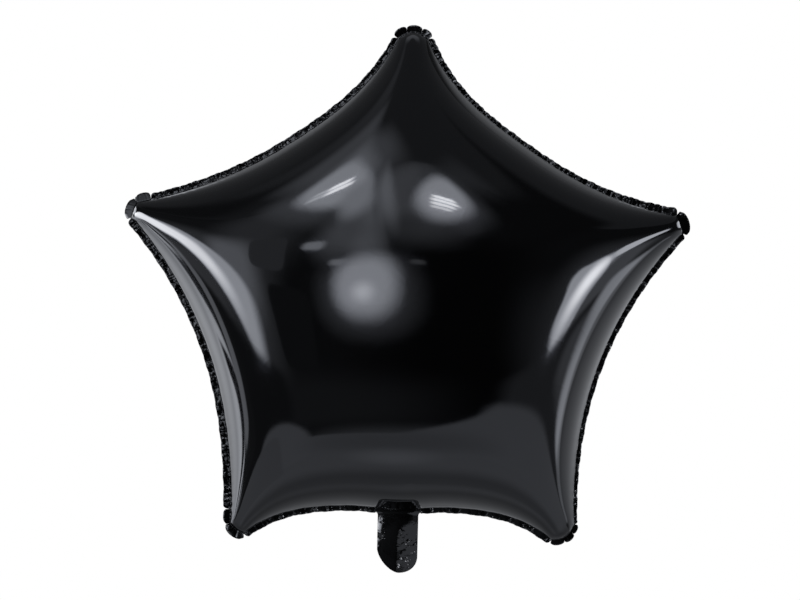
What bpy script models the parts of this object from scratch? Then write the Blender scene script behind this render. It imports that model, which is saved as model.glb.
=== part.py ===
"""Star foil balloon: two dark metallised films sealed along a gathered border, with a flat tail."""
import math
import random

import bmesh
import bpy
import numpy as np

# Driving dimensions, in metres. The front faces -Y, the top arm points to +Z, and every list
# runs clockwise as the front is seen.
STAR_REACH = 0.2400
BODY_DEPTH = 0.1950
SHEET = 0.0012

# Arms, from the top one on: what the seam reaches past STAR_REACH, the width and the bulge of
# the blunt end, and the lobes of the border there, each with its share of the end and its length.
ARMS = (
    (-0.0070, 0.0264, 0.0060, ((0.34, 0.0062), (0.38, 0.0056), (0.28, 0.0056))),
    (0.0034, 0.0165, 0.0013, ((1.00, 0.0072),)),
    (-0.0018, 0.0238, 0.0045, ((0.28, 0.0042), (0.32, 0.0052), (0.40, 0.0046))),
    (-0.0010, 0.0146, 0.0012, ((1.00, 0.0068), (0.80, 0.0060))),
    (0.0062, 0.0143, 0.0008, ((1.00, 0.0070), (0.85, 0.0068))),
)

# Sides, from the upper right one on: how far the seam bows in from a straight line between its
# two arms, how square its first and its last half are (2 is a plain arc), and the width of the
# border at its start, halfway along and at its end.
SIDES = (
    (0.0268, 3.1, 2.2, (0.0044, 0.0032, 0.0058)),
    (0.0276, 2.0, 2.0, (0.0042, 0.0037, 0.0026)),
    (0.0255, 4.0, 4.0, (0.0048, 0.0040, 0.0048)),
    (0.0270, 1.8, 2.1, (0.0060, 0.0050, 0.0052)),
    (0.0264, 1.9, 2.8, (0.0044, 0.0046, 0.0040)),
)
BOTTOM_SIDE = 2

# Gathers of the border: how far apart they are, how far they stick out and up and reach into
# the panels, and how unevenly. The notches beside the lobes leave NOTCH_WIDTH of the border.
GATHER_PITCH = 0.0070
GATHER_SCALLOP = 0.0012
GATHER_LIFT = 0.0013
GATHER_REACH = 0.0160
SCALLOP_SHARES = (0.2, 1.0)
LIFT_SHARES = (0.35, 1.0)
VALLEY_SHARE = 0.5
GATHER_DRIFT = 0.22
GATHER_SEED = 11
NOTCH_WIDTH = 0.0008
LOBE_SQUARENESS = 0.45

# Filling tail, under the middle of the bottom side, whose seam it pulls down a little. A ribbon
# is tied TIE_DROP below the seam, and the origin is there.
TAIL_WIDTH = 0.0345
TAIL_LENGTH = 0.0540
TAIL_END_HEIGHT = 0.0155
TAIL_FILLET = 0.0022
TAIL_SHIFT = -0.0030
TAIL_PULL = 0.0024
TAIL_PULL_REACH = 0.0450
TIE_DROP = 0.0300
THROAT_DEPTH = 0.0090
THROAT_LENGTH = 0.0200

# Fineness of the mesh: points to a stretch of the seam, rings of the pillow from the seam to
# its middle, the rings after which every second column ends, columns to a lobe, and the tail's
# grid. A gather has two columns.
STRETCH_POINTS = 240
RINGS = 8
THINNING_RINGS = (1, 4)
LOBE_COLUMNS = 8
TAIL_COLUMNS = 8
TAIL_ROWS = 7
FILLET_ROWS = 3
HARMONICS = 40

FILM_COLOUR = (0.012, 0.012, 0.014, 1.0)
FILM_METALLIC = 0.65
FILM_ROUGHNESS = 0.14


class Stretch:
    """A stretch of the seam between two corners, bowed in or, where bow is negative, out."""

    def __init__(self, start, end, bow, first_square=2.0, last_square=2.0, pull=None):
        chord = end - start
        span = np.linalg.norm(chord)
        outward = np.array([-chord[1], chord[0]]) / span
        share = np.linspace(0, 1, STRETCH_POINTS)
        square = np.where(share < 0.5, first_square, last_square)
        inset = bow * (1 - np.abs(2 * share - 1) ** square)
        self.points = start + np.outer(share, chord) - np.outer(inset, outward)
        if pull:
            self.points += np.outer(pull(self.points[:, 0]), outward)
        steps = np.linalg.norm(np.diff(self.points, axis=0), axis=1)
        self.distances = np.concatenate([[0], np.cumsum(steps)])
        self.length = self.distances[-1]
        along = np.gradient(self.points, self.distances, axis=0)
        self.normals = np.stack([-along[:, 1], along[:, 0]], axis=1)

    def at(self, distance):
        """Return the point at a distance along the stretch and the normal out of the star."""
        point = [np.interp(distance, self.distances, self.points[:, i]) for i in (0, 1)]
        normal = [np.interp(distance, self.distances, self.normals[:, i]) for i in (0, 1)]
        return np.array(point), np.array(normal) / np.linalg.norm(normal)

    def distance_at_x(self, x):
        """Return the distance at which the stretch, which runs towards -X, crosses x."""
        return np.interp(-x, -self.points[:, 0], self.distances)


def tail_pull(x):
    """Return how far the tail pulls the bottom seam down at x."""
    share = np.clip((x - TAIL_SHIFT) / TAIL_PULL_REACH, -1, 1)
    return TAIL_PULL * np.cos(share * math.pi / 2) ** 2


def seam_stretches():
    """Return the end of each arm and the side that follows it."""
    corners = []
    for arm, (extra, width, bulge, _lobes) in enumerate(ARMS):
        bearing = math.tau * arm / len(ARMS)
        axis = np.array([math.sin(bearing), math.cos(bearing)])
        across = np.array([axis[1], -axis[0]])
        middle = axis * (STAR_REACH + extra - bulge)
        corners.append((middle - across * width / 2, middle + across * width / 2))
    stretches = []
    for arm, (before, after) in enumerate(corners):
        bow, first_square, last_square, _widths = SIDES[arm]
        following = corners[(arm + 1) % len(corners)][0]
        pull = tail_pull if arm == BOTTOM_SIDE else None
        stretches.append((Stretch(before, after, -ARMS[arm][2]),
                          Stretch(after, following, bow, first_square, last_square, pull)))
    return stretches


class Station:
    """One column of the mesh: its place on the seam and the border's shape there.

    Across is the column's place on the tail, from -1 to 1, and None beside it.
    """

    def __init__(self, place, width, lift, across=None):
        self.seam, self.outward = place
        self.width = width
        self.lift = lift
        self.across = across


def lobe_stations(end, side, lobes, luck):
    """Return the columns over the lobes at an arm's end, and how much of the side they take."""
    stations = []
    start = 0.0
    for share, length in lobes:
        breadth = share * end.length
        lean = luck.uniform(-GATHER_LIFT, GATHER_LIFT)
        for column in range(LOBE_COLUMNS):
            turn = math.pi * column / LOBE_COLUMNS
            distance = start + breadth * (1 - math.cos(turn)) / 2
            on_side = distance - end.length
            place = end.at(distance) if on_side < 0 else side.at(on_side)
            roundness = math.sin(turn) ** LOBE_SQUARENESS
            width = NOTCH_WIDTH + (length - NOTCH_WIDTH) * roundness
            stations.append(Station(place, width, lean * roundness))
        start += breadth
    return stations, max(0.0, start - end.length)


def gather_stations(side, start, end, first_width, widths, luck):
    """Return a flat first column and then, for each gather of the stretch, a crest and a valley."""
    columns = 4 * max(1, round((end - start) / (2 * GATHER_PITCH)))
    stations = [Station(side.at(start), first_width, 0.0)]
    for column in range(1, columns):
        crest = column % 2
        drift = luck.uniform(-GATHER_DRIFT, GATHER_DRIFT)
        distance = start + (end - start) * (column + drift) / columns
        scallop = luck.uniform(*SCALLOP_SHARES) if crest else -VALLEY_SHARE
        width = border_width(side, distance, widths) + GATHER_SCALLOP * scallop
        lift = GATHER_LIFT * luck.uniform(*LIFT_SHARES) * (1 if crest else -1)
        stations.append(Station(side.at(distance), width, lift))
    return stations


def border_width(side, distance, widths):
    """Return the border's width on the curve through a side's first, middle and last width."""
    first, middle, last = widths
    share = distance / side.length
    return (first * (1 - share) * (1 - 2 * share) + middle * 4 * share * (1 - share)
            + last * share * (2 * share - 1))


def tail_stations(side, widths):
    """Return the columns over the mouth of the tail, from one fillet to the other."""
    half = TAIL_WIDTH / 2 + TAIL_FILLET
    stations = []
    for column in range(TAIL_COLUMNS):
        across = math.cos(math.pi * column / TAIL_COLUMNS)
        distance = side.distance_at_x(TAIL_SHIFT + across * half)
        width = border_width(side, distance, widths)
        stations.append(Station(side.at(distance), width, 0.0, across))
    return stations


def seam_stations():
    """Return every column round the seam, from the start of the top arm's end."""
    luck = random.Random(GATHER_SEED)
    stations = []
    half = TAIL_WIDTH / 2 + TAIL_FILLET
    for arm, (end, side) in enumerate(seam_stretches()):
        widths = SIDES[arm][3]
        lobes, start = lobe_stations(end, side, ARMS[arm][3], luck)
        stations += lobes
        first_width = NOTCH_WIDTH
        if arm == BOTTOM_SIDE:
            mouth = side.distance_at_x(TAIL_SHIFT + half)
            stations += gather_stations(side, start, mouth, first_width, widths, luck)
            stations += tail_stations(side, widths)
            start = side.distance_at_x(TAIL_SHIFT - half)
            first_width = border_width(side, start, widths)
        stations += gather_stations(side, start, side.length, first_width, widths, luck)
    return stations


def inflation(outline):
    """Return a function for the height of a film blown up over the outline.

    A film under even pressure follows a potential with a constant curvature and no height on
    the seam. That potential is a paraboloid plus waves that fade towards the centre, and the
    waves' strengths are fitted to the seam. The square root makes the film stand upright on
    the seam, as it does on a real pillow, and the last step holds the middle to BODY_DEPTH.
    """
    scale = np.linalg.norm(outline, axis=1).max()

    def waves(points):
        spiral = (points[:, 0] + 1j * points[:, 1]) / scale
        columns = [np.ones(len(points))]
        for order in range(1, HARMONICS + 1):
            power = spiral ** order
            columns += [power.real, power.imag]
        return np.array(columns).T

    strengths = np.linalg.lstsq(waves(outline), (outline ** 2).sum(axis=1) / 4, rcond=1e-12)[0]

    def potential(points):
        return waves(points) @ strengths - (points ** 2).sum(axis=1) / 4

    middle = 2 * potential(np.zeros((1, 2)))[0]
    flattening = 4 / BODY_DEPTH ** 2 - 1 / middle

    def height(seam, share):
        """Return the height on a ring that is the seam shrunk to a share of its size."""
        misfit = potential(seam) * share ** HARMONICS
        squared = np.clip(2 * (potential(seam * share) - misfit), 0, None)
        return np.sqrt(squared / (1 + squared * flattening))

    return height


def throat_height(across):
    """Return how far the tail's throat stands off the middle plane at its mouth."""
    if across is None:
        return 0.0
    return THROAT_DEPTH / 2 * math.sqrt(max(0.0, 1 - across ** 2))


def add_ring(bm, points, heights):
    return [bm.verts.new((x, y, z)) for (x, z), y in zip(points, heights)]


def join_rings(bm, outer, inner):
    """Fill between two rings, where the inner one has as many columns or half as many."""
    count = len(outer)
    if len(inner) == count:
        for i in range(count):
            j = (i + 1) % count
            bm.faces.new((outer[i], outer[j], inner[j], inner[i]))
        return
    for i in range(0, count, 2):
        j = (i + 2) % count
        near = inner[i // 2]
        far = inner[j // 2]
        bm.faces.new((outer[i], outer[i + 1], near))
        bm.faces.new((outer[i + 1], outer[j], far))
        bm.faces.new((near, outer[i + 1], far))


def add_panel(bm, stations, centre, height, side):
    """Add an inflated panel, the front one at side -1, and return its ring on the seam."""
    seam = np.array([station.seam for station in stations])
    lifts = np.array([station.lift for station in stations])
    throats = np.array([throat_height(station.across) for station in stations])
    reaches = np.linalg.norm(seam, axis=1)
    rings = []
    step = 1
    for ring in range(RINGS):
        if ring - 1 in THINNING_RINGS:
            step *= 2
        share = 1 - (ring / RINGS) ** 2
        gather = np.clip(1 - reaches[::step] * (1 - share) / GATHER_REACH, 0, None)
        middle = lifts[::step] * gather / 2
        raised = np.hypot(height(seam[::step], share), throats[::step] * gather)
        rings.append(add_ring(bm, seam[::step] * share + centre,
                              middle + side * (raised + SHEET / 2)))
    for outer, inner in zip(rings, rings[1:]):
        join_rings(bm, outer, inner)
    crown = bm.verts.new((centre[0], side * (BODY_DEPTH + SHEET) / 2, centre[1]))
    last = rings[-1]
    for i, vert in enumerate(last):
        bm.faces.new((vert, last[(i + 1) % len(last)], crown))
    return rings[0]


def add_border(bm, stations, centre, seam_rings):
    """Add the sealed border round both panels, and return its rim's faces over the tail."""
    points = [station.seam + station.outward * station.width + centre for station in stations]
    rims = []
    for side, seam_ring in zip((-1, 1), seam_rings):
        heights = [station.lift + side * (throat_height(station.across) + SHEET / 2)
                   for station in stations]
        rims.append(add_ring(bm, points, heights))
        join_rings(bm, rims[-1], seam_ring)
    front, back = rims
    tail_faces = []
    for i, station in enumerate(stations):
        j = (i + 1) % len(stations)
        face = bm.faces.new((front[i], front[j], back[j], back[i]))
        if station.across is not None:
            tail_faces.append(face)
    return tail_faces


def tail_levels():
    """Return each row of the tail: its share of the length, its drop and reach in the fillet."""
    levels = []
    for row in range(1, FILLET_ROWS + 1):
        angle = math.pi / 2 * row / FILLET_ROWS
        levels.append((0.0, TAIL_FILLET * (1 - math.cos(angle)),
                       TAIL_FILLET * (1 - math.sin(angle))))
    for row in range(1, TAIL_ROWS + 1):
        levels.append((row / TAIL_ROWS, TAIL_FILLET, 0.0))
    return levels


def tail_place(across, side, rim, level):
    """Return a vertex of the tail, on the column that starts from height rim on the border."""
    share, drop, reach = level
    end = TIE_DROP - TAIL_LENGTH + TAIL_END_HEIGHT * (1 - math.sqrt(1 - across ** 2))
    z = (rim - drop) * (1 - share) + end * share
    open_share = max(0.0, 1 - (TIE_DROP - z) / THROAT_LENGTH)
    swell = throat_height(across) * math.sin(math.pi / 2 * open_share) ** 2
    return ((TAIL_WIDTH / 2 + reach) * across, side * (swell + SHEET / 2), z)


def grow_tail(bm, faces):
    """Extrude the tail row by row from the border's rim."""
    columns = {}
    for vert in {vert for face in faces for vert in face.verts}:
        across = min(1.0, max(-1.0, vert.co.x / (TAIL_WIDTH / 2 + TAIL_FILLET)))
        columns[vert.co.copy().freeze()] = (across, math.copysign(1, vert.co.y), vert.co.z)
    for level in tail_levels():
        grown = bmesh.ops.extrude_face_region(bm, geom=faces)["geom"]
        bmesh.ops.delete(bm, geom=faces, context="FACES")
        faces = [item for item in grown if isinstance(item, bmesh.types.BMFace)]
        moved = {}
        for vert in (item for item in grown if isinstance(item, bmesh.types.BMVert)):
            column = columns[vert.co.copy().freeze()]
            vert.co = tail_place(*column, level)
            moved[vert.co.copy().freeze()] = column
        columns = moved


def film_material():
    material = bpy.data.materials.new("dark_foil")
    material.use_nodes = True
    shader = material.node_tree.nodes["Principled BSDF"]
    shader.inputs["Base Color"].default_value = FILM_COLOUR
    shader.inputs["Metallic"].default_value = FILM_METALLIC
    shader.inputs["Roughness"].default_value = FILM_ROUGHNESS
    return material


def build_balloon():
    stretches = seam_stretches()
    bottom = stretches[BOTTOM_SIDE][1]
    seam_at_tail = bottom.at(bottom.distance_at_x(TAIL_SHIFT))[0][1]
    centre = np.array([-TAIL_SHIFT, TIE_DROP - seam_at_tail])
    outline = np.concatenate([stretch.points for pair in stretches for stretch in pair])
    height = inflation(outline)
    stations = seam_stations()
    bm = bmesh.new()
    seam_rings = [add_panel(bm, stations, centre, height, side) for side in (-1, 1)]
    grow_tail(bm, add_border(bm, stations, centre, seam_rings))
    bmesh.ops.recalc_face_normals(bm, faces=bm.faces)
    mesh = bpy.data.meshes.new("star_balloon")
    bm.to_mesh(mesh)
    bm.free()
    mesh.shade_smooth()
    mesh.materials.append(film_material())
    balloon = bpy.data.objects.new("star_balloon", mesh)
    bpy.context.scene.collection.objects.link(balloon)


for old in list(bpy.data.objects):
    bpy.data.objects.remove(old)
build_balloon()
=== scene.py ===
import math
import random

import bpy
import numpy as np
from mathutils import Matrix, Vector, noise


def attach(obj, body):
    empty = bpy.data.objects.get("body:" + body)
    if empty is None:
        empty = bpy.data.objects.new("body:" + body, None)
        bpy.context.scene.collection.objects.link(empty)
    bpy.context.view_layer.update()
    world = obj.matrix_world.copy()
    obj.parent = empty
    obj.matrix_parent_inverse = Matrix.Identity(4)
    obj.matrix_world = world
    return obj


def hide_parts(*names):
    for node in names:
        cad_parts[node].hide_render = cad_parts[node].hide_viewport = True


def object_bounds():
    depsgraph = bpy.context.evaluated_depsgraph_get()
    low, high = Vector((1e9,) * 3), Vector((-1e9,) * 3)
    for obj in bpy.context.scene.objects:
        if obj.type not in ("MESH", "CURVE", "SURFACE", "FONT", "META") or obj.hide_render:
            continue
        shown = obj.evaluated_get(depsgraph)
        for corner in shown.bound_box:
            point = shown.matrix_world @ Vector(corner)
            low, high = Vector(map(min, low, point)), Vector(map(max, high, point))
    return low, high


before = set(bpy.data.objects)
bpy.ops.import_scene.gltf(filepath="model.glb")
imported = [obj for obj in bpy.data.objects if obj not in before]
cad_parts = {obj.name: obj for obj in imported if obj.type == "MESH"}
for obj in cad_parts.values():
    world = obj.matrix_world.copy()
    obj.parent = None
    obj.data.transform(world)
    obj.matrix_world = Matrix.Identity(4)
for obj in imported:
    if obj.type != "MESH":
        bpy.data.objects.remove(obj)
solid_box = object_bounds()


# Front film. The balloon is two star-shaped sheets of black metallised film, heat-sealed to each
# other along their edges and blown up with gas. The film can't stretch, so the front is a smooth
# pillow that stands upright on the seam and runs out to a blunt end in each arm.
STAR_REACH = 0.2400
BODY_DEPTH = 0.1950
SEAM_GAP = 0.0001
# Each arm: extra reach, width and bulge of its blunt end, and each lobe's share of it and length
ARMS = (
    (-0.0070, 0.0264, 0.0060, ((0.34, 0.0062), (0.38, 0.0056), (0.28, 0.0056))),
    (0.0034, 0.0165, 0.0013, ((1.00, 0.0072),)),
    (-0.0018, 0.0238, 0.0045, ((0.28, 0.0042), (0.32, 0.0052), (0.40, 0.0046))),
    (-0.0010, 0.0146, 0.0012, ((1.00, 0.0068), (0.80, 0.0060))),
    (0.0062, 0.0143, 0.0008, ((1.00, 0.0070), (0.85, 0.0068))),
)
# Each side: bow, squareness of its first and last half, and border widths from first to last
SIDES = (
    (0.0268, 3.1, 2.2, (0.0044, 0.0032, 0.0058)),
    (0.0276, 2.0, 2.0, (0.0042, 0.0037, 0.0026)),
    (0.0255, 4.0, 4.0, (0.0048, 0.0040, 0.0048)),
    (0.0270, 1.8, 2.1, (0.0060, 0.0050, 0.0052)),
    (0.0264, 1.9, 2.8, (0.0044, 0.0046, 0.0040)),
)
BOTTOM_SIDE = 2
TAIL_WIDTH = 0.0345
TAIL_FILLET = 0.0022
TAIL_SHIFT = -0.0030
TAIL_PULL = 0.0024
TAIL_PULL_REACH = 0.0450
TIE_DROP = 0.0300
THROAT_DEPTH = 0.0040
GATHER_REACH = 0.0160
STRETCH_POINTS = 240
HARMONICS = 40
FILM_CELLS = 272
PUCKER_PITCH = 0.0062
PUCKER_PITCH_SHARES = (0.62, 1.0, 1.7)
PUCKER_DRIFT = 2.2
PUCKER_DRIFT_CYCLES = 17
PUCKER_HEIGHT = 0.0006
PUCKER_REACH = 0.0090
PUCKER_SEED = 5
NECK_SIDES = (0.94, 1.03)
NECK_TOP = (0.0074, 0.0092)
NECK_TAPER = 36.0
NECK_SLOPE = 0.10
NECK_CRINKLE = 0.0006
NECK_FACET = 0.0055
NECK_SEED = 2.6
FACET_VARIETY = 5.1
FACET_HEIGHT = 4.0
FACET_EDGE = 0.14
FLAT_FACET = 0.05
STEEP_FACET = 4.2
STEEP_FACETS_FROM = 0.76


def side_curve(start, end, bow, first_square, last_square, pulled):
    """Return points along a stretch of the seam that bows in between two corners."""
    chord = end - start
    outward = np.array([-chord[1], chord[0]]) / np.linalg.norm(chord)
    share = np.linspace(0, 1, STRETCH_POINTS)
    square = np.where(share < 0.5, first_square, last_square)
    inset = bow * (1 - np.abs(2 * share - 1) ** square)
    points = start + np.outer(share, chord) - np.outer(inset, outward)
    if pulled:
        reach = np.clip((points[:, 0] - TAIL_SHIFT) / TAIL_PULL_REACH, -1, 1)
        pull = TAIL_PULL * np.cos(reach * math.pi / 2) ** 2
        points = points + np.outer(pull, outward)
    return points


def seam_curves():
    """Return the seam's stretches clockwise from the top arm: each arm's end, then its side."""
    corners = []
    for arm, (extra, width, bulge, _lobes) in enumerate(ARMS):
        bearing = math.tau * arm / len(ARMS)
        axis = np.array([math.sin(bearing), math.cos(bearing)])
        across = np.array([axis[1], -axis[0]])
        middle = axis * (STAR_REACH + extra - bulge)
        corners.append((middle - across * width / 2, middle + across * width / 2))
    curves = []
    for arm, (before, after) in enumerate(corners):
        bow, first_square, last_square, _widths = SIDES[arm]
        following = corners[(arm + 1) % len(corners)][0]
        curves.append(side_curve(before, after, -ARMS[arm][2], 2, 2, False))
        curves.append(side_curve(after, following, bow, first_square, last_square,
                                 arm == BOTTOM_SIDE))
    return curves


def lengths_along(points):
    steps = np.linalg.norm(np.diff(points, axis=0), axis=1)
    return np.concatenate([[0], np.cumsum(steps)])


CURVES = seam_curves()
STARTS = np.concatenate([[0], np.cumsum([lengths_along(curve)[-1] for curve in CURVES])])
SEAM_LENGTH = STARTS[-1]
SEAM_AT = np.concatenate([lengths_along(curve) + start for curve, start in zip(CURVES, STARTS)])
SEAM_POINTS = np.concatenate(CURVES)
BOTTOM = CURVES[2 * BOTTOM_SIDE + 1]
CENTRE = np.array([-TAIL_SHIFT, TIE_DROP - np.interp(-TAIL_SHIFT, -BOTTOM[:, 0], BOTTOM[:, 1])])


def seam_point(distance):
    """Return the points of the seam at distances round it, from the star's centre."""
    distance = np.mod(distance, SEAM_LENGTH)
    return np.stack([np.interp(distance, SEAM_AT, SEAM_POINTS[:, i]) for i in (0, 1)], axis=-1)


def waves(points):
    spiral = (points[:, 0] + 1j * points[:, 1]) / np.linalg.norm(SEAM_POINTS, axis=1).max()
    columns = [np.ones(len(points))]
    for order in range(1, HARMONICS + 1):
        power = spiral ** order
        columns += [power.real, power.imag]
    return np.array(columns).T


WAVE_STRENGTHS = np.linalg.lstsq(waves(SEAM_POINTS), (SEAM_POINTS ** 2).sum(axis=1) / 4,
                                 rcond=1e-12)[0]


def tension(points):
    return waves(points) @ WAVE_STRENGTHS - (points ** 2).sum(axis=1) / 4


FLATTENING = 4 / BODY_DEPTH ** 2 - 1 / (2 * tension(np.zeros((1, 2)))[0])


def film_height(seam, share):
    """Return how far the blown-up film stands off the seam's plane, a share of the way out."""
    misfit = tension(seam) * share ** HARMONICS
    squared = np.clip(2 * (tension(seam * share[:, None]) - misfit), 0, None)
    return np.sqrt(squared / (1 + squared * FLATTENING))


def throat_height(points):
    """Return how far the mouth of the filling tail holds the films apart at points of the seam."""
    across = (points[:, 0] - TAIL_SHIFT) / (TAIL_WIDTH / 2 + TAIL_FILLET)
    opening = THROAT_DEPTH / 2 * np.clip(1 - across ** 2, 0, None)
    return np.where(points[:, 1] < 0, opening, 0.0)


def ease(value, start, end):
    """Return 0 before start and 1 past end, with a soft step between them."""
    share = np.clip((value - start) / (end - start), 0, 1)
    return share * share * (3 - 2 * share)


def crinkle(points, cell, seed):
    """Return the height, from about -1 to 1, of foil crinkled into facets, a few of them steep."""
    heights = np.empty(len(points))
    for i, (x, z) in enumerate(points / cell):
        distances, middles = noise.voronoi(Vector((x, z, seed)))
        tilt = noise.cell_vector(middles[0] * FACET_VARIETY)
        steep = FLAT_FACET + STEEP_FACET * max(0.0, tilt[2] - STEEP_FACETS_FROM)
        edge = min(1.0, (distances[1] - distances[0]) / FACET_EDGE)
        lean = (x - middles[0][0]) * (tilt[0] - 0.5) + (z - middles[0][1]) * (tilt[1] - 0.5)
        heights[i] = FACET_HEIGHT * lean * steep * edge
    return heights


def deselect_all():
    for thing in bpy.context.selected_objects:
        thing.select_set(False)


def add_grid(name, columns, rows):
    """Return a flat grid, alone selected, and the places of its vertices from -1 to 1."""
    deselect_all()
    bpy.ops.mesh.primitive_grid_add(x_subdivisions=columns, y_subdivisions=rows, size=2)
    piece = bpy.context.object
    piece.name = name
    flat = np.empty(len(piece.data.vertices) * 3)
    piece.data.vertices.foreach_get("co", flat)
    return piece, flat.reshape(-1, 3)


def place_vertices(piece, places):
    piece.data.vertices.foreach_set("co", np.asarray(places, dtype=np.float32).ravel())
    piece.data.update()


def turn_outward(weld=None):
    """Merge the active mesh's doubles, if a distance is given, and turn its faces outwards."""
    bpy.ops.object.mode_set(mode="EDIT")
    bpy.ops.mesh.select_all(action="SELECT")
    if weld:
        bpy.ops.mesh.remove_doubles(threshold=weld)
    bpy.ops.mesh.normals_make_consistent(inside=False)
    bpy.ops.object.mode_set(mode="OBJECT")


def press_neck(points, reach, height, side):
    """Return the film's height with the neck over the tail's mouth pressed flat and creased."""
    half = TAIL_WIDTH / 2 + TAIL_FILLET
    across = np.abs(points[:, 0]) / half / (1 - NECK_TAPER * reach)
    neck = (1 - ease(across, *NECK_SIDES)) * (1 - ease(reach, *NECK_TOP))
    neck = np.where(points[:, 1] < CENTRE[1], neck, 0)
    flat_neck = THROAT_DEPTH / 2 * np.clip(1 - across ** 2, 0, 1) + NECK_SLOPE * reach
    creased = neck > 0
    flat_neck[creased] += NECK_CRINKLE * crinkle(points[creased], NECK_FACET, NECK_SEED + side)
    return height * (1 - neck) + flat_neck * neck


def puckers(distance, turn, side):
    """Return the small waves, from -1 to 1, that the gathered seam sends into a film."""
    luck = random.Random(PUCKER_SEED + side)
    lift = np.zeros(len(distance))
    for share in PUCKER_PITCH_SHARES:
        phase = luck.uniform(0, math.tau)
        cycles = round(SEAM_LENGTH / (PUCKER_PITCH * share))
        drift = PUCKER_DRIFT * np.sin(PUCKER_DRIFT_CYCLES * turn + phase)
        lift += np.sin(math.tau * cycles * distance / SEAM_LENGTH + phase + drift)
    return lift / len(PUCKER_PITCH_SHARES)


def blow_up(name, side):
    """Return a film panel: a square grid drawn out to the star's outline and blown up."""
    panel, flat = add_grid(name, FILM_CELLS, FILM_CELLS)
    inner = np.abs(flat[:, :2]).max(axis=1)
    turn = np.arctan2(flat[:, 0], flat[:, 1])
    quarter = np.round(turn / (math.pi / 2))
    edge = np.tan(turn - quarter * math.pi / 2)
    turn = (quarter + edge / 2) * math.pi / 2
    distance = turn / math.tau * SEAM_LENGTH
    seam = seam_point(distance)
    share = 1 - (1 - np.clip(inner, 0, 1)) ** 2
    reach = np.linalg.norm(seam, axis=1) * (1 - share)
    open_share = np.clip(1 - reach / GATHER_REACH, 0, None)
    height = np.hypot(film_height(seam, share), throat_height(seam) * open_share)
    points = seam * share[:, None] + CENTRE
    height = press_neck(points, reach, height, side)
    fade = np.clip(1 - reach / PUCKER_REACH, 0, 1) ** 2
    depth = side * (height + SEAM_GAP) + PUCKER_HEIGHT * fade * puckers(distance, turn, side)
    place_vertices(panel, np.stack([points[:, 0], depth, points[:, 1]], axis=1))
    turn_outward()
    middle = min(panel.data.polygons,
                 key=lambda face: abs(face.center.x) + abs(face.center.z - CENTRE[1]))
    if middle.normal.y * side < 0:
        panel.data.flip_normals()
    bpy.ops.object.shade_smooth()
    return panel


def math_node(tree, operation, *values):
    """Return a new math node's result, from numbers and other nodes' outputs."""
    node = tree.nodes.new("ShaderNodeMath")
    node.operation = operation
    for socket, value in zip(node.inputs, values):
        if isinstance(value, (int, float)):
            socket.default_value = value
        else:
            tree.links.new(value, socket)
    return node.outputs["Value"]


def set_values(node, values):
    for label, value in values.items():
        node.inputs[label].default_value = value


def foil_group():
    """Return the group that gives black foil its uneven ink, its handling marks and its grain."""
    group = bpy.data.node_groups.new("foil_surface", "ShaderNodeTree")
    for label in ("Ink", "Ink thin"):
        group.interface.new_socket(label, in_out="INPUT", socket_type="NodeSocketColor")
    for label in ("Roughness", "Marks", "Crinkle", "Crinkle scale"):
        group.interface.new_socket(label, in_out="INPUT", socket_type="NodeSocketFloat")
    group.interface.new_socket("Color", in_out="OUTPUT", socket_type="NodeSocketColor")
    for label in ("Roughness", "Height"):
        group.interface.new_socket(label, in_out="OUTPUT", socket_type="NodeSocketFloat")
    nodes = group.nodes
    links = group.links
    inputs = nodes.new("NodeGroupInput").outputs
    outputs = nodes.new("NodeGroupOutput").inputs
    place = nodes.new("ShaderNodeTexCoord").outputs["Object"]

    clouds = nodes.new("ShaderNodeTexNoise")
    set_values(clouds, {"Scale": 9.0, "Detail": 4.0, "Roughness": 0.55})
    links.new(place, clouds.inputs["Vector"])
    ink = nodes.new("ShaderNodeMix")
    ink.data_type = "RGBA"
    links.new(clouds.outputs["Fac"], ink.inputs["Factor"])
    links.new(inputs["Ink"], ink.inputs["A"])
    links.new(inputs["Ink thin"], ink.inputs["B"])
    links.new(ink.outputs["Result"], outputs["Color"])

    smudges = nodes.new("ShaderNodeTexNoise")
    set_values(smudges, {"Scale": 34.0, "Detail": 6.0, "Roughness": 0.62, "Distortion": 0.6})
    links.new(place, smudges.inputs["Vector"])
    spread = nodes.new("ShaderNodeMapRange")
    set_values(spread, {"From Min": 0.35, "From Max": 0.75, "To Min": 0.0})
    links.new(smudges.outputs["Fac"], spread.inputs["Value"])
    links.new(inputs["Marks"], spread.inputs["To Max"])
    rough = math_node(group, "ADD", inputs["Roughness"], spread.outputs["Result"])
    links.new(rough, outputs["Roughness"])

    creases = nodes.new("ShaderNodeTexVoronoi")
    creases.feature = "DISTANCE_TO_EDGE"
    links.new(place, creases.inputs["Vector"])
    links.new(inputs["Crinkle scale"], creases.inputs["Scale"])
    ridges = nodes.new("ShaderNodeMapRange")
    set_values(ridges, {"From Max": 0.12, "To Min": 1.0, "To Max": 0.0})
    links.new(creases.outputs["Distance"], ridges.inputs["Value"])
    grain = nodes.new("ShaderNodeTexNoise")
    set_values(grain, {"Detail": 3.0})
    links.new(place, grain.inputs["Vector"])
    links.new(inputs["Crinkle scale"], grain.inputs["Scale"])
    both = math_node(group, "MULTIPLY_ADD", ridges.outputs["Result"], 0.5, grain.outputs["Fac"])
    links.new(math_node(group, "MULTIPLY", both, inputs["Crinkle"]), outputs["Height"])
    return group


FOIL = foil_group()


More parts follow.
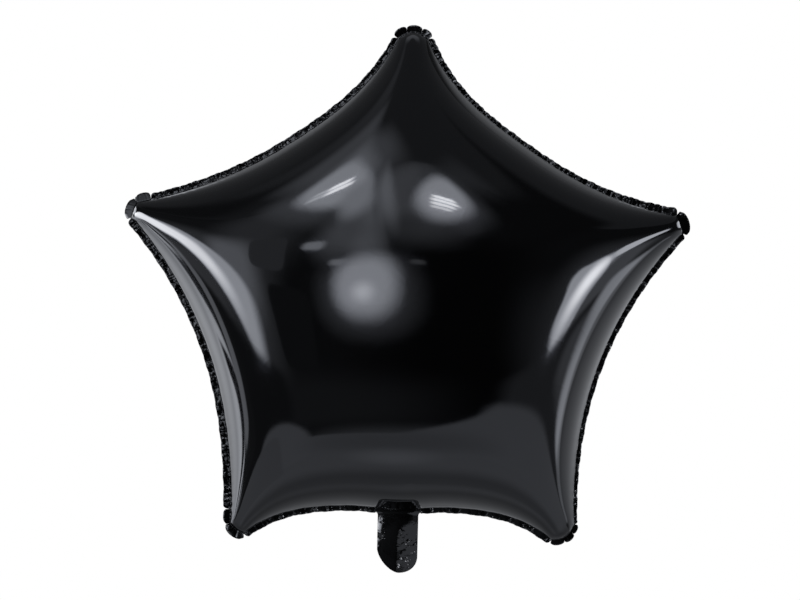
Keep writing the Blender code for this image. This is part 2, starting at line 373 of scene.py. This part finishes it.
def foil_material(name, ink, ink_thin, roughness, marks, crease, crease_scale, coat_roughness=None):
    """Return black foil: a dark metal layer, under a clear gloss layer where it lies smooth."""
    material = bpy.data.materials.new(name)
    material.use_nodes = True
    nodes = material.node_tree.nodes
    links = material.node_tree.links
    shader = nodes["Principled BSDF"]
    set_values(shader, {"Metallic": 1.0})
    if coat_roughness:
        set_values(shader, {"Coat Weight": 1.0, "Coat Roughness": coat_roughness, "Coat IOR": 1.5})
    surface = nodes.new("ShaderNodeGroup")
    surface.node_tree = FOIL
    set_values(surface, {"Ink": (*ink, 1), "Ink thin": (*ink_thin, 1), "Roughness": roughness,
                         "Marks": marks, "Crinkle": crease, "Crinkle scale": crease_scale})
    bump = nodes.new("ShaderNodeBump")
    set_values(bump, {"Strength": 1.0, "Distance": 0.001})
    links.new(surface.outputs["Color"], shader.inputs["Base Color"])
    links.new(surface.outputs["Roughness"], shader.inputs["Roughness"])
    links.new(surface.outputs["Height"], bump.inputs["Height"])
    links.new(bump.outputs["Normal"], shader.inputs["Normal"])
    return material


front_film = blow_up("front_film", -1)
black_foil = foil_material("black_foil", ink=(0.024, 0.025, 0.029), ink_thin=(0.032, 0.034, 0.040),
                           roughness=0.06, marks=0.04, crease=0.01, crease_scale=60.0,
                           coat_roughness=0.015)
front_film.data.materials.append(black_foil)
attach(front_film, "root")
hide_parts("star_balloon")


# Back film. The second sheet is cut from the same roll and blown up the same, so it is the front's
# mirror image, with puckers of its own along the seam.
back_film = blow_up("back_film", 1)
back_film.data.materials.append(black_foil)
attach(back_film, "root")
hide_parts("star_balloon")


# Sealed border. Outside the seam both sheets are welded into one flat strip 3 to 6 mm wide. The
# blown-up star is smaller than the flat one, so the strip leans, wavers and is crossed by small
# sharp folds, and at the end of each arm it splits into short rounded lobes.
SIDE_LEANS = (-0.16, 0.17, 0.13, -0.17, -0.16)
LOBE_LEANS = (-0.14, 0.16, 0.12, -0.14, 0.43)
SIDE_SCALLOPS = (0.00075, 0.00030, 0.00035, 0.00025, 0.00045)
SCALLOP_PITCHES = (0.0046, 0.0082)
SCALLOP_DEPTHS = (0.3, 1.0)
SCALLOP_LEAN = 1.4
EDGE_WAVE_HEIGHT = 0.00022
EDGE_WAVE_LENGTH = 0.0031
CORNER_REACH = 0.0030
LEAN_SPREAD = 0.06
WAVE_HEIGHT = 0.00022
WAVE_LENGTHS = (0.0034, 0.0019)
SECOND_WAVE_SHARE = 0.7
SECOND_WAVE_SHIFT = 1.3
FOLD_SPACINGS = (0.0016, 0.0085)
FOLD_HEIGHTS = (0.00008, 0.00068)
FOLD_LEAN = 0.0022
FOLD_REACHES = (0.0006, 0.0012)
GATHER_SEED = 11
NOTCH_WIDTH = 0.0005
LOBE_SQUARENESS = 0.36
LOBE_CRUMPLE = 0.3
LOBE_COLUMNS = 44
MOUTH_COLUMNS = 60
MOUTH_SIDES = (0.92, 0.985)
MOUTH_BORDER = 0.0012
COLUMN_PITCH = 0.00053
BORDER_ROWS = 28
BORDER_TUCK = 0.0016
BORDER_SHEET = 0.0005
EDGE_THINNING = 0.8
EDGE_THINNING_POWER = 8
CRINKLE_HEIGHT = 0.00085
BORDER_FACET = 0.0034
BORDER_SEED = 3.1
SEAM_NUDGE = 0.0004


def border_width(curve, distance, widths):
    """Return the border's width on the curve through a side's first, middle and last width."""
    first, middle, last = widths
    share = distance / lengths_along(curve)[-1]
    return (first * (1 - share) * (1 - 2 * share) + middle * 4 * share * (1 - share)
            + last * share * (2 * share - 1))


def border_columns():
    """Return each column's distance round the seam, width, lean and share of the crumpling."""
    luck = random.Random(GATHER_SEED)
    columns = []
    half = TAIL_WIDTH / 2 + TAIL_FILLET

    def add_strip(arm, origin, start, end, round_start, round_end):
        curve = CURVES[2 * arm + 1]
        scallop = start
        pitch = luck.uniform(*SCALLOP_PITCHES)
        depth = SIDE_SCALLOPS[arm] * luck.uniform(*SCALLOP_DEPTHS)
        phase = luck.uniform(0, math.tau)
        count = max(2, round((end - start) / COLUMN_PITCH))
        for distance in start + (end - start) * np.arange(count) / count:
            if distance > scallop + pitch:
                scallop += pitch
                pitch = luck.uniform(*SCALLOP_PITCHES)
                depth = SIDE_SCALLOPS[arm] * luck.uniform(*SCALLOP_DEPTHS)
            share = (distance - scallop) / pitch
            width = border_width(curve, distance, SIDES[arm][3])
            width += depth * (math.sin(math.pi * share ** SCALLOP_LEAN) - 0.5)
            width += EDGE_WAVE_HEIGHT * math.sin(distance / EDGE_WAVE_LENGTH + phase)
            for away, rounded in ((distance - start, round_start), (end - distance, round_end)):
                near = min(1.0, away / CORNER_REACH)
                if rounded:
                    corner = math.sqrt(1 - (1 - near) ** 2)
                    width = NOTCH_WIDTH + (width - NOTCH_WIDTH) * corner
            columns.append((origin + distance, width, SIDE_LEANS[arm], 1.0))

    for arm in range(len(ARMS)):
        side = CURVES[2 * arm + 1]
        end_length = lengths_along(CURVES[2 * arm])[-1]
        side_length = lengths_along(side)[-1]
        origin = STARTS[2 * arm]
        side_origin = STARTS[2 * arm + 1]
        start = 0.0
        for share, length in ARMS[arm][3]:
            breadth = share * end_length
            lean = LOBE_LEANS[arm] + luck.uniform(-LEAN_SPREAD, LEAN_SPREAD)
            for column in range(LOBE_COLUMNS):
                turn = math.pi * column / LOBE_COLUMNS
                distance = start + breadth * (1 - math.cos(turn)) / 2
                roundness = math.sin(turn) ** LOBE_SQUARENESS
                width = NOTCH_WIDTH + (length - NOTCH_WIDTH) * roundness
                columns.append((origin + distance, width, lean, LOBE_CRUMPLE))
            start += breadth
        start = max(0.0, start - end_length)
        if arm == BOTTOM_SIDE:
            at = lengths_along(side)
            mouth = np.interp(-(TAIL_SHIFT + half), -side[:, 0], at)
            add_strip(arm, side_origin, start, mouth, True, False)
            for turn in np.linspace(0, math.pi, MOUTH_COLUMNS, endpoint=False):
                across = math.cos(turn)
                distance = np.interp(-(TAIL_SHIFT + across * half), -side[:, 0], at)
                full_width = border_width(side, distance, SIDES[arm][3])
                width = MOUTH_BORDER + (full_width - MOUTH_BORDER) * ease(abs(across), *MOUTH_SIDES)
                columns.append((side_origin + distance, width, 0.0, 0.0))
            start = np.interp(-(TAIL_SHIFT - half), -side[:, 0], at)
            add_strip(arm, side_origin, start, side_length, False, True)
        else:
            add_strip(arm, side_origin, start, side_length, True, True)
    return np.array(columns)


def gather_folds():
    """Return the folds across the border: distance round the seam, slant, height and reach."""
    luck = random.Random(GATHER_SEED + 1)
    folds = []
    distance = 0.0
    while distance < SEAM_LENGTH:
        height = luck.uniform(*FOLD_HEIGHTS) * luck.choice((-1, 1))
        folds.append((distance, luck.uniform(-FOLD_LEAN, FOLD_LEAN), height,
                      luck.uniform(*FOLD_REACHES)))
        distance += luck.uniform(*FOLD_SPACINGS)
    return folds


def fold_heights(distance, out_share):
    """Return how far the waves and folds of the gathers lift the border."""
    wave = np.sin(distance / WAVE_LENGTHS[0])
    second_wave = np.sin(distance / WAVE_LENGTHS[1] + SECOND_WAVE_SHIFT)
    lift = WAVE_HEIGHT * (wave + SECOND_WAVE_SHARE * second_wave) * out_share
    for start, slant, height, reach in FOLDS:
        away = np.abs(distance - start - slant * out_share)
        lift += height * np.clip(1 - away / reach, 0, None) * np.sqrt(out_share)
    return lift


FOLDS = gather_folds()
COLUMNS = border_columns()


def seam_outward(distance):
    """Return the directions that point away from the star at distances round the seam."""
    tangent = seam_point(distance + SEAM_NUDGE) - seam_point(distance - SEAM_NUDGE)
    tangent /= np.linalg.norm(tangent, axis=1)[:, None]
    return np.stack([-tangent[:, 1], tangent[:, 0]], axis=1)


def border_places():
    """Return the border's points: for each column, out along the front and back behind it."""
    distance, width, lean, crumple = COLUMNS.T
    seam = seam_point(distance) + CENTRE
    outward = seam_outward(distance)
    out_steps = np.linspace(0, 1, BORDER_ROWS // 2)
    section = [(share, -1) for share in out_steps] + [(share, 1) for share in out_steps[::-1]]
    places = []
    for share, side in section:
        offset = -BORDER_TUCK + (width + BORDER_TUCK) * share
        out_share = np.clip(offset / width, 0, 1)
        points = seam + outward * offset[:, None]
        facets = CRINKLE_HEIGHT * crinkle(points, BORDER_FACET, BORDER_SEED) * np.sqrt(out_share)
        bend = lean * np.clip(offset, 0, None)
        sheet = BORDER_SHEET * (1 - EDGE_THINNING * out_share ** EDGE_THINNING_POWER)
        y = bend + crumple * (fold_heights(distance, out_share) + facets) + side * sheet / 2
        places.append(np.stack([points[:, 0], y, points[:, 1]], axis=1))
    places = np.stack(places + places[:1], axis=1)
    return np.concatenate([places, places[:1]])


border, _flat = add_grid("sealed_border", BORDER_ROWS, len(COLUMNS))
place_vertices(border, border_places())
turn_outward(weld=0.000001)
bpy.ops.object.shade_smooth_by_angle(angle=math.radians(24))
border.data.materials.append(foil_material(
    "sealed_foil", ink=(0.054, 0.055, 0.058), ink_thin=(0.068, 0.070, 0.074),
    roughness=0.06, marks=0.05, crease=0.010, crease_scale=420.0))
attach(border, "root")
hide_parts("star_balloon")


# Filling tail. A flat tube of the same two sheets, open into the star at its throat and sealed
# along both edges and its rounded end. It is limp: crinkled all over, curled at its left edge and
# creased down its middle, with its right half bent back.
TAIL_LENGTH = 0.0540
TAIL_END_HEIGHTS = (0.0210, 0.0145)
TAIL_END_ROUNDNESS = (1.6, 2.2)
TAIL_END_SHIFT = 0.08
MOUTH_LAP = 0.0008
MOUTH_RIM = 0.0040
MOUTH_FILLET = 0.0030
THROAT_LENGTH = 0.0380
THROAT_CLOSING = 1.6
TAIL_SEAL = 0.0028
SEAL_OVERLAP = 0.6
TAIL_SHEET = 0.0005
SEALED_SHEET_SHARE = 0.2
TAIL_SLACK = 0.0003
SLACK_END = 0.2
TAIL_AROUND = 180
TAIL_ROWS = 130
TAIL_SLOPE = 0.055
LOWER_HALF = (0.012, 0.024)
BEND_DROP = 0.019
BEND_SOFTNESS = 0.007
BEND_SLOPE = 0.08
RIGHT_BEND = 12.0
MIDDLE_CREASE = 0.0008
TWIST_DROP = 0.020
TWIST_SLOPE = 0.05
RIGHT_TWIST = 0.06
CURL_FROM = 0.0118
CURL_TOP = (0.002, 0.013)
CURL_FOOT = (0.026, 0.036)
CURL_SOFTNESS = 0.0010
CURL_BEND = 56.0
FINE_CREASES = 0.00008
LEFT_CREASES = 0.0009
LEFT_CREASE_SIDE = (-0.0125, -0.0095)
LEFT_CREASE_TOP = (0.003, 0.008)
LEFT_CREASE_FOOT = (0.028, 0.036)
RIGHT_CREASES = 0.0010
RIGHT_CREASE_SIDE = (-0.001, 0.003)
TAIL_FACET = 0.0050
SMALL_TAIL_FACET = 0.0024
SMALL_FACET_SHARE = 0.5
SMALL_FACET_SHIFT = 0.4
TAIL_SEEDS = (1.7, 5.2)


def hinge(value, soft):
    """Return a line that turns up from flat at zero, softly."""
    return (value + np.sqrt(value ** 2 + soft ** 2)) / 2


def tail_end(across):
    """Return the height of the tail's rounded end, whose lowest point is right of the middle."""
    left = across < TAIL_END_SHIFT
    reach = np.where(left, 1 + TAIL_END_SHIFT, 1 - TAIL_END_SHIFT)
    share = np.clip(np.abs(across - TAIL_END_SHIFT) / reach, 0, 1)
    roundness = np.where(left, *TAIL_END_ROUNDNESS)
    rise = np.where(left, *TAIL_END_HEIGHTS) * (1 - (1 - share ** roundness) ** (1 / roundness))
    return TIE_DROP - TAIL_LENGTH + rise


def tail_bend(x, z, drop):
    """Return how far back the limp tail hangs: its bend, twist, curled edge and creases."""
    lower = ease(drop, *LOWER_HALF)
    right = hinge(x, MIDDLE_CREASE)
    bend = BEND_SLOPE + RIGHT_BEND * right
    swing = TAIL_SLOPE * drop + bend * hinge(drop - BEND_DROP, BEND_SOFTNESS)
    twist = TWIST_SLOPE * x * ease(drop, 0, TWIST_DROP) + RIGHT_TWIST * right * lower
    curled = ease(drop, *CURL_TOP) * (1 - ease(drop, *CURL_FOOT))
    curl = CURL_BEND * hinge(-CURL_FROM - x, CURL_SOFTNESS) ** 2 * curled
    left_part = (1 - ease(x, *LEFT_CREASE_SIDE)) * (1 - ease(drop, *LEFT_CREASE_FOOT))
    left_part *= ease(drop, *LEFT_CREASE_TOP)
    right_part = ease(x, *RIGHT_CREASE_SIDE) * lower
    points = np.stack([x, z], axis=1)
    facets = crinkle(points, TAIL_FACET, TAIL_SEEDS[0])
    facets += SMALL_FACET_SHARE * crinkle(points + SMALL_FACET_SHIFT, SMALL_TAIL_FACET, TAIL_SEEDS[1])
    creases = (FINE_CREASES + LEFT_CREASES * left_part + RIGHT_CREASES * right_part) * facets
    return (creases + swing + twist + curl) * np.clip(drop / MOUTH_RIM, 0, 1)


def tail_places(flat):
    """Return the tail's points: a flattened tube from the mouth down to the rounded end."""
    turn = (flat[:, 0] + 1) * math.pi
    down = (1 - flat[:, 1]) / 2
    across = np.cos(turn)
    side = np.where(np.sin(turn) >= 0, -1.0, 1.0)
    mouth_x = TAIL_SHIFT + across * (TAIL_WIDTH / 2 + TAIL_FILLET)
    mouth_z = np.interp(-mouth_x, -BOTTOM[:, 0], BOTTOM[:, 1]) + CENTRE[1] + MOUTH_LAP
    z = mouth_z * (1 - down) + tail_end(across) * down
    drop = mouth_z - z
    fillet_share = np.clip((drop - MOUTH_RIM) / MOUTH_FILLET, 0, 1)
    flare = TAIL_FILLET * (1 - np.sqrt(1 - (1 - fillet_share) ** 2))
    x = (TAIL_WIDTH / 2 + flare) * across
    rim = np.sqrt(np.clip(1 - across ** 2, 0, None))
    unsealed = np.clip((1 - np.abs(across)) * TAIL_WIDTH / 2 / TAIL_SEAL - SEAL_OVERLAP, 0, 1)
    open_share = np.clip(1 - drop / THROAT_LENGTH, 0, 1)
    opening = THROAT_DEPTH / 2 * rim ** 2 * np.sin(math.pi / 2 * open_share) ** THROAT_CLOSING
    slack = TAIL_SLACK * unsealed * rim * np.clip((1 - down) / SLACK_END, 0, 1)
    sheet = TAIL_SHEET / 2 * np.clip(rim * 6, SEALED_SHEET_SHARE, 1)
    y = side * (opening + slack + sheet) + tail_bend(x, z, drop)
    return np.stack([x, y, z], axis=1)


tail, flat_tail = add_grid("filling_tail", TAIL_AROUND, TAIL_ROWS)
place_vertices(tail, tail_places(flat_tail))
turn_outward(weld=0.00002)
bpy.ops.object.shade_smooth_by_angle(angle=math.radians(32))
tail.data.materials.append(foil_material(
    "tail_foil", ink=(0.054, 0.055, 0.058), ink_thin=(0.070, 0.072, 0.076),
    roughness=0.07, marks=0.08, crease=0.02, crease_scale=300.0))
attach(tail, "root")
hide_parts("star_balloon")


# Studio. A plain pale floor under the floating balloon, a white background, and round it the soft
# boxes, tube lights, ceiling and walls that its black gloss mirrors.
FLOOR_DROP = 0.30
FLOOR_SIZE = 12
CAMERA_TURN = math.radians(1.4)
CAMERA_DISTANCE = 5.0
CAMERA_SHIFT = (-0.0058, 0.0048)
VIEW_WIDTH = 0.6797
SENSOR_WIDTH = 36


def floor_paper():
    """Return a matt pale paper that the camera sees as white, with the balloon's shade on it."""
    paper = bpy.data.materials.new("pale_floor")
    paper.use_nodes = True
    nodes = paper.node_tree.nodes
    links = paper.node_tree.links
    matt = nodes["Principled BSDF"]
    set_values(matt, {"Base Color": (0.8, 0.8, 0.8, 1), "Roughness": 0.9, "Specular IOR Level": 0.0})
    glow = nodes.new("ShaderNodeEmission")
    set_values(glow, {"Strength": 1.05})
    path = nodes.new("ShaderNodeLightPath")
    mix = nodes.new("ShaderNodeMixShader")
    links.new(math_node(paper.node_tree, "MULTIPLY", path.outputs["Is Camera Ray"], 0.8),
              mix.inputs["Fac"])
    links.new(matt.outputs["BSDF"], mix.inputs[1])
    links.new(glow.outputs["Emission"], mix.inputs[2])
    links.new(mix.outputs["Shader"], nodes["Material Output"].inputs["Surface"])
    return paper


deselect_all()
bpy.ops.mesh.primitive_plane_add(size=FLOOR_SIZE, location=(0, 0, solid_box[0][2] - FLOOR_DROP))
floor = bpy.context.object
floor.name = "floor"
floor.visible_glossy = False
floor.data.materials.append(floor_paper())


CARD_VALUES = ("At", "Up", "Half width", "Half height", "Turn", "Squareness", "Softness", "Light")


def light_card_group():
    """Return the group that lays one card of light, or of dark, over the studio round it."""
    group = bpy.data.node_groups.new("light_card", "ShaderNodeTree")
    for label in ("Bearing", "Height", "Studio") + CARD_VALUES:
        group.interface.new_socket(label, in_out="INPUT", socket_type="NodeSocketFloat")
    group.interface.new_socket("Studio", in_out="OUTPUT", socket_type="NodeSocketFloat")
    nodes = group.nodes
    links = group.links
    inputs = nodes.new("NodeGroupInput").outputs
    outputs = nodes.new("NodeGroupOutput").inputs

    def work_out(operation, *values):
        return math_node(group, operation, *values)

    across = work_out("SUBTRACT", inputs["Bearing"], inputs["At"])
    up = work_out("SUBTRACT", inputs["Height"], inputs["Up"])
    turn = work_out("RADIANS", inputs["Turn"])
    cosine = work_out("COSINE", turn)
    sine = work_out("SINE", turn)
    along = work_out("MULTIPLY_ADD", across, cosine, work_out("MULTIPLY", up, sine))
    aside = work_out("SUBTRACT", work_out("MULTIPLY", up, cosine), work_out("MULTIPLY", across, sine))
    wide = work_out("ABSOLUTE", work_out("DIVIDE", along, inputs["Half width"]))
    high = work_out("ABSOLUTE", work_out("DIVIDE", aside, inputs["Half height"]))
    square = inputs["Squareness"]
    powers = work_out("ADD", work_out("POWER", wide, square), work_out("POWER", high, square))
    reach = work_out("POWER", powers, work_out("DIVIDE", 1.0, square))
    fade = nodes.new("ShaderNodeMapRange")
    fade.interpolation_type = "SMOOTHSTEP"
    set_values(fade, {"To Min": 1.0, "To Max": 0.0})
    links.new(reach, fade.inputs["Value"])
    links.new(work_out("SUBTRACT", 1.0, inputs["Softness"]), fade.inputs["From Min"])
    links.new(work_out("ADD", 1.0, inputs["Softness"]), fade.inputs["From Max"])
    lay = nodes.new("ShaderNodeMix")
    lay.data_type = "FLOAT"
    links.new(fade.outputs["Result"], lay.inputs["Factor"])
    links.new(inputs["Studio"], lay.inputs["A"])
    links.new(inputs["Light"], lay.inputs["B"])
    links.new(lay.outputs["Result"], outputs["Studio"])
    return group


LIGHT_CARD = light_card_group()
WALL_LIGHT = 0.035
# Each card: its name and the values named above, with angles in degrees, bearing 0 at the camera
CARDS = (
    ("dark room ahead", 20, 0, 26, 34, 0, 3, 0.4, 0.012),
    ("right wall", 66, 18, 40, 16, 18, 3, 0.3, 0.035),
    ("left wall", -62, 24, 34, 15, 0, 3, 0.5, 0.06),
    ("lit patch of the left wall", -40, 24, 15, 17, -20, 2, 0.7, 0.24),
    ("left wall, low", -22, -22, 26, 8, 0, 3, 0.6, 0.075),
    ("right wall, low", 40, -8, 14, 9, -25, 2, 0.8, 0.1),
    ("wall between the lamps", 2, 27.5, 13, 8.5, 12, 4, 0.35, 0.36),
    ("ceiling", 5, 90, 200, 53.4, 0, 14, 0.012, 0.1),
    ("dark end of the left wall", -82, 46, 24, 9, 0, 3, 0.5, 0.045),
    ("right edge of the ceiling", 47, 35.5, 36, 7, 27, 5, 0.3, 0.03),
    ("its soft end", 25, 37, 9, 4, 25, 2, 0.9, 0.2),
    ("left edge of the ceiling, far", -78, 61, 26, 4.5, -6, 3, 0.6, 0.2),
    ("left edge of the ceiling", -40, 50, 24, 6.5, -22, 3, 0.45, 0.52),
    ("left edge of the ceiling, near", -20, 44, 16, 8, -20, 2, 0.7, 0.48),
    ("round the left lamp", -29, 34.5, 17, 7, -33, 3, 0.5, 0.45),
    ("above the left lamp", -26, 41.5, 14, 5, -33, 2.3, 0.6, 1.05),
    ("lit edge of the wall", -11.5, 22, 12.5, 3.7, -66, 3, 0.45, 1.1),
    ("its foot", -12.4, 16.4, 5.4, 6, 0, 2, 0.8, 0.55),
    ("right of the lit edge", 0.5, 25, 7.5, 8.5, 16, 4, 0.4, 0.5),
    ("foot of the wall between the lamps", 2.5, 15.5, 7.5, 3.5, 0, 2, 0.8, 0.24),
    ("dark corner line", -8.2, 24.5, 10, 0.9, -72, 4, 0.7, 0.62),
    ("lit edge, bright band", -6, 26.5, 8.5, 2, -72, 2, 0.8, 1.15),
    ("left lamp's shade", -25.2, 36, 14, 5.7, -35, 2.4, 0.3, 2.6),
    ("left lamp's shade, lower end", -14, 27, 6, 3.5, -60, 2.5, 0.6, 1.9),
    ("upper tube, dim end", -27.6, 35.9, 2.8, 0.7, 0, 4, 0.4, 4.6),
    ("lower tube, dim end", -27.2, 34.2, 3.2, 0.7, 0, 4, 0.4, 4.6),
    ("upper tube", -24, 35.95, 2.9, 0.75, 0, 4, 0.35, 10.5),
    ("lower tube", -22.9, 34.15, 3.3, 0.75, 0, 4, 0.35, 10.5),
    ("round the right lamp", 12, 25.6, 11, 7.4, 35, 2.2, 0.5, 0.36),
    ("below the right lamp", 12.6, 20.4, 4, 3.4, 28, 2, 0.8, 0.28),
    ("right lamp's shade", 10.9, 25.4, 8.8, 5.4, 37, 2.3, 0.34, 2.7),
    ("right lamp, first tube", 11, 24.9, 3.1, 0.42, 0, 5, 0.3, 11),
    ("right lamp, second tube", 10.8, 23.85, 3.6, 0.42, 0, 5, 0.3, 11),
    ("right lamp, third tube", 10, 22.7, 3.1, 0.42, 0, 5, 0.3, 10),
    ("right lamp, fourth tube", 9.2, 21.6, 2.6, 0.38, 0, 5, 0.3, 7.5),
    ("round the lamp at the camera", -7, 2.2, 9, 7.2, 0, 2.4, 0.4, 0.26),
    ("lamp at the camera", -7, 3.9, 5.7, 5.7, 0, 2.3, 0.38, 2.7),
    ("its bulb", -7.2, 2.6, 1.7, 1.5, 0, 2, 0.95, 4.8),
    ("far lamp", -18.9, 14.2, 2.7, 1.2, -10, 3, 0.4, 1.6),
    ("farther lamp", -12.3, 8.8, 1.8, 0.7, -5, 3, 0.5, 1.5),
    ("farthest lamp", 2.2, 8, 1.3, 0.45, -3, 3, 0.5, 0.4),
    ("round the left soft box", -58, 2, 25, 17, -12, 3, 0.35, 0.28),
    ("left soft box's glow", -49.5, 6, 11, 11.5, 0, 3, 0.5, 0.95),
    ("dark stand by the left soft box", -33, 13, 6.8, 6.5, 0, 5, 0.06, 0.22),
    ("dark stand, lower", -26.5, -5.5, 7.6, 8, 0, 5, 0.07, 0.05),
    ("under the left soft box", -82, -11.5, 14, 5, 4, 2.5, 0.5, 0.32),
    ("left soft box, near end", -66, -0.9, 22, 9.2, -25, 3.5, 0.17, 3.2),
    ("left soft box, far end", -98.9, 3.6, 17, 12, 19, 4, 0.11, 8.6),
    ("left soft box, bright middle", -85, 3.5, 17, 6.4, -14, 2.4, 0.5, 9.6),
    ("left soft box, lower corner", -69.5, -2.4, 10, 4.2, -27, 2, 0.9, 8.5),
    ("dark strip under the left soft box", -66, -21.3, 31, 6.6, 1, 6, 0.14, 0.05),
    ("round the right soft box", 60, 0, 20, 15, 30, 2.2, 0.5, 0.22),
    ("under the right soft box", 76, -8, 12, 9, -30, 2.5, 0.5, 0.55),
    ("beside the right soft box", 67, -5, 10, 4.5, 48, 2.5, 0.5, 1),
    ("right soft box", 57, -5, 10.3, 9.9, 16, 4, 0.14, 3.6),
    ("right soft box, lower half", 55.6, -6, 9.4, 9.2, -14, 4, 0.14, 3.3),
    ("right soft box, bright middle", 58.8, -3.6, 9, 4.3, 47, 2, 0.8, 10.5),
    ("dark edge of the right soft box", 73, -10.6, 14, 7.2, 52, 4, 0.24, 0.55),
    ("dark strip under the right soft box", 60, -20.2, 34, 5.4, 0, 6, 0.2, 0.13),
    ("lit strip under the right soft box", 76, -18.6, 9, 1.6, -3, 2.5, 0.6, 0.38),
    ("right soft box, far corner", 76, 7.3, 10, 4, 20, 3, 0.2, 4.6),
    ("floor", 0, -90, 200, 55.2, 0, 30, 0.012, 0.42),
    ("floor, left", -52, -39, 26, 12.8, 0, 2.6, 0.09, 0.44),
    ("floor, far left", -88, -44, 40, 15, 0, 8, 0.04, 0.38),
    ("floor, ahead", 15.9, -38, 17, 11, 27.4, 7, 0.11, 0.43),
    ("floor, right", 60, -38.9, 42, 15.2, -4.5, 8, 0.09, 0.43),
    ("dim floor ahead", -2, -40, 22, 7, 0, 2, 0.8, 0.33),
    ("lit floor ahead", -4, -54, 8, 6, 0, 2, 0.9, 0.58),
    ("floor underneath", 0, -90, 200, 20, 0, 30, 0.5, 0.24),
    ("floor behind, right half", 180, -50, 75, 25, 0, 4, 0.3, 0.17),
    ("floor behind, left half", -180, -50, 75, 25, 0, 4, 0.3, 0.17),
    ("behind, upper left", -145, 30, 22, 24, 0, 3, 0.5, 0.09),
    ("behind, far upper left", -170, 22, 13, 14, 0, 3, 0.5, 0.17),
    ("behind, upper right", 158, 24, 14, 16, 0, 3, 0.6, 0.15),
    ("behind, lower right", 137, -15, 40, 12, 0, 3, 0.4, 0.34),
    ("right side light", 90, -17.4, 10.5, 3.3, -10, 2.4, 0.45, 2.0),
    ("right side light, lower end", 101, -24, 5, 4, -40, 2.4, 0.5, 0.7),
    ("behind, lower left", -145, -13, 32, 13, 0, 3, 0.5, 0.42),
    ("left side light, far end", -123, -14, 20, 10, 0, 2.2, 0.7, 1.15),
    ("left side light", -108, -15, 11, 6, -10, 2.2, 0.6, 2.2),
    ("dark gap under the left side light", -93, -20.5, 13, 4.2, -2, 3, 0.15, 0.06),
    ("left side light, lower edge", -95.5, -17, 4.6, 1.3, 0, 3, 0.3, 0.85),
    ("dark line in the left side light", -107.6, -15.4, 8.6, 1.05, 2, 4, 0.3, 0.03),
    ("second dark line", -108, -18.8, 5, 0.7, 8, 3, 0.4, 0.05),
    ("soft box behind, right half", 180, 31, 12, 8, 0, 3, 0.3, 1.2),
    ("soft box behind, left half", -180, 31, 12, 8, 0, 3, 0.3, 1.2),
    ("top light behind, right half", 180, 70, 60, 8, 0, 4, 0.4, 0.4),
    ("top light behind, left half", -180, 70, 60, 8, 0, 4, 0.4, 0.4),
    ("soft box behind, right", 120, 15, 13, 8, 0, 4, 0.15, 2.6),
    ("soft box behind, left", -128, 13, 13, 8, 0, 4, 0.15, 2.6),
)


def studio_light(tree):
    """Return the light of the studio in each direction: its plain walls under every card."""
    direction = tree.nodes.new("ShaderNodeTexCoord")
    level = tree.nodes.new("ShaderNodeMapping")
    level.vector_type = "POINT"
    set_values(level, {"Rotation": (0, CAMERA_TURN, 0)})
    tree.links.new(direction.outputs["Generated"], level.inputs["Vector"])
    split = tree.nodes.new("ShaderNodeSeparateXYZ")
    tree.links.new(level.outputs["Vector"], split.inputs["Vector"])
    ahead = math_node(tree, "MULTIPLY", split.outputs["Y"], -1.0)
    turn = math_node(tree, "ARCTAN2", split.outputs["X"], ahead)
    bearing = math_node(tree, "DEGREES", turn)
    height = math_node(tree, "DEGREES", math_node(tree, "ARCSINE", split.outputs["Z"]))
    light = None
    for name, *values in CARDS:
        card = tree.nodes.new("ShaderNodeGroup")
        card.node_tree = LIGHT_CARD
        card.label = name
        set_values(card, dict(zip(CARD_VALUES, values)))
        tree.links.new(bearing, card.inputs["Bearing"])
        tree.links.new(height, card.inputs["Height"])
        if light is None:
            set_values(card, {"Studio": WALL_LIGHT})
        else:
            tree.links.new(light, card.inputs["Studio"])
        light = card.outputs["Studio"]
    return light


def studio_world():
    """Return the world: white, but the studio in whatever mirrors it, bluish where it is dim."""
    world = bpy.data.worlds.new("studio")
    world.use_nodes = True
    nodes = world.node_tree.nodes
    links = world.node_tree.links
    light = studio_light(world.node_tree)
    brightness = nodes.new("ShaderNodeMapRange")
    set_values(brightness, {"From Min": 1.5, "From Max": 8.0})
    links.new(light, brightness.inputs["Value"])
    tint = nodes.new("ShaderNodeMix")
    tint.data_type = "RGBA"
    set_values(tint, {"A": (0.965, 0.995, 1.055, 1), "B": (1.0, 1.0, 1.0, 1)})
    links.new(brightness.outputs["Result"], tint.inputs["Factor"])
    mirrored = nodes.new("ShaderNodeBackground")
    links.new(tint.outputs["Result"], mirrored.inputs["Color"])
    links.new(light, mirrored.inputs["Strength"])
    plain = nodes.new("ShaderNodeBackground")
    set_values(plain, {"Color": (1, 1, 1, 1), "Strength": 1.0})
    path = nodes.new("ShaderNodeLightPath")
    choose = nodes.new("ShaderNodeMixShader")
    links.new(path.outputs["Is Glossy Ray"], choose.inputs["Fac"])
    links.new(plain.outputs["Background"], choose.inputs[1])
    links.new(mirrored.outputs["Background"], choose.inputs[2])
    links.new(choose.outputs["Shader"], nodes["World Output"].inputs["Surface"])
    return world


bpy.context.scene.world = studio_world()
camera_data = bpy.data.cameras.new("camera")
camera_data.sensor_width = SENSOR_WIDTH
camera_data.lens = SENSOR_WIDTH * CAMERA_DISTANCE / VIEW_WIDTH
camera = bpy.data.objects.new("camera", camera_data)
camera.location = (CENTRE[0] + CAMERA_SHIFT[0], -CAMERA_DISTANCE, CENTRE[1] + CAMERA_SHIFT[1])
camera.rotation_euler = (math.pi / 2, -CAMERA_TURN, 0)
bpy.context.scene.collection.objects.link(camera)
bpy.context.scene.camera = camera
bpy.context.scene.view_settings.view_transform = "Standard"
